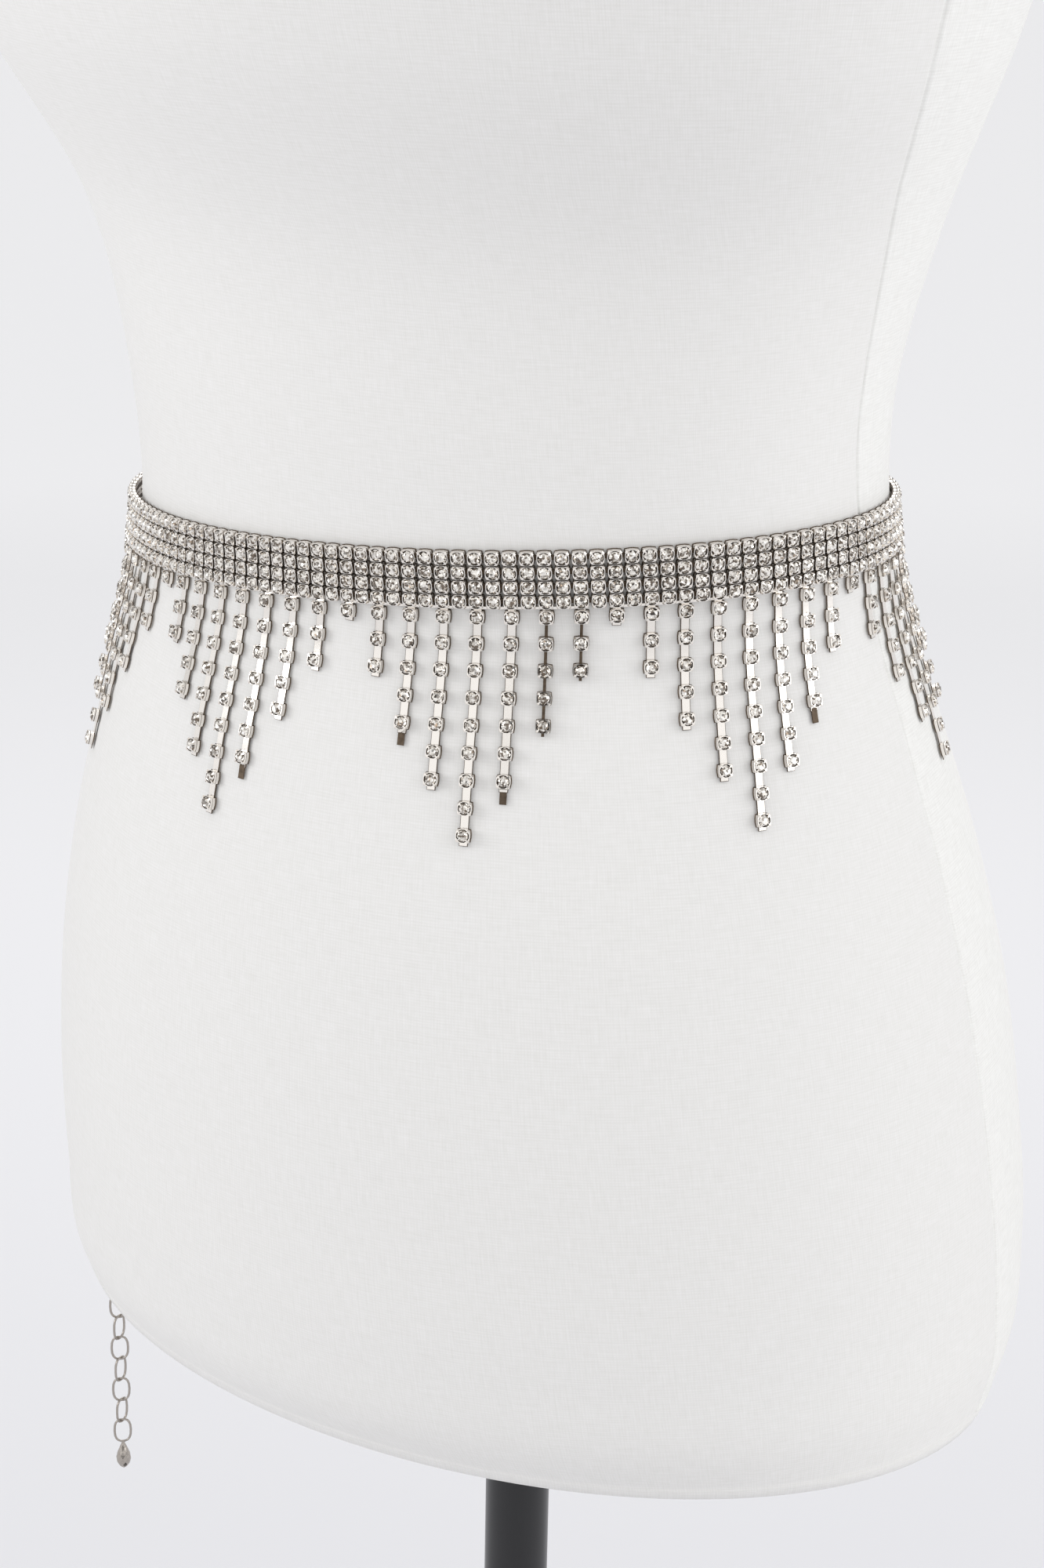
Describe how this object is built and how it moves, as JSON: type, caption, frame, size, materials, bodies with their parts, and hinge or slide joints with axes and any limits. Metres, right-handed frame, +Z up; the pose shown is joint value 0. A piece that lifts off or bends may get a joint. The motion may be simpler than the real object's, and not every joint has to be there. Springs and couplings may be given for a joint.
{
  "type": "gemstone belt on a limbless dress form",
  "caption": "Rhinestone cup-chain waist belt with a stepped stone fringe and a chain extender, worn by a limbless dress form on a pole stand.",
  "frame": {"origin": "centre of the stand base's underside", "axes": "+Z up, -Y towards the form's front, +X towards the viewer's right"},
  "size_m": [0.3632, 0.3383, 1.5242],
  "materials": {
    "linen_form": "off-white linen stretched over a hard shell",
    "black_enamel": "gloss black enamel on steel",
    "silver_plate": "bright silver plate",
    "clear_stones": "clear foil-backed stones in silver-plated cups"
  },
  "bodies": {
    "root": {"torso_form": "linen_form", "stand_base": "black_enamel", "stand_pole": "black_enamel", "stone_band": "clear_stones", "end_bar_front": "silver_plate", "end_bar_back": "silver_plate", "ring_front": "silver_plate", "ring_back": "silver_plate", "clasp": "silver_plate", "extender_chain": "silver_plate", "extender_drop": "silver_plate", "fringe_01": "clear_stones", "fringe_02": "clear_stones", "fringe_03": "clear_stones", "fringe_04": "clear_stones", "fringe_05": "clear_stones", "fringe_06": "clear_stones", "fringe_07": "clear_stones", "fringe_08": "clear_stones", "fringe_09": "clear_stones", "fringe_10": "clear_stones"}
  },
  "joints": []
}
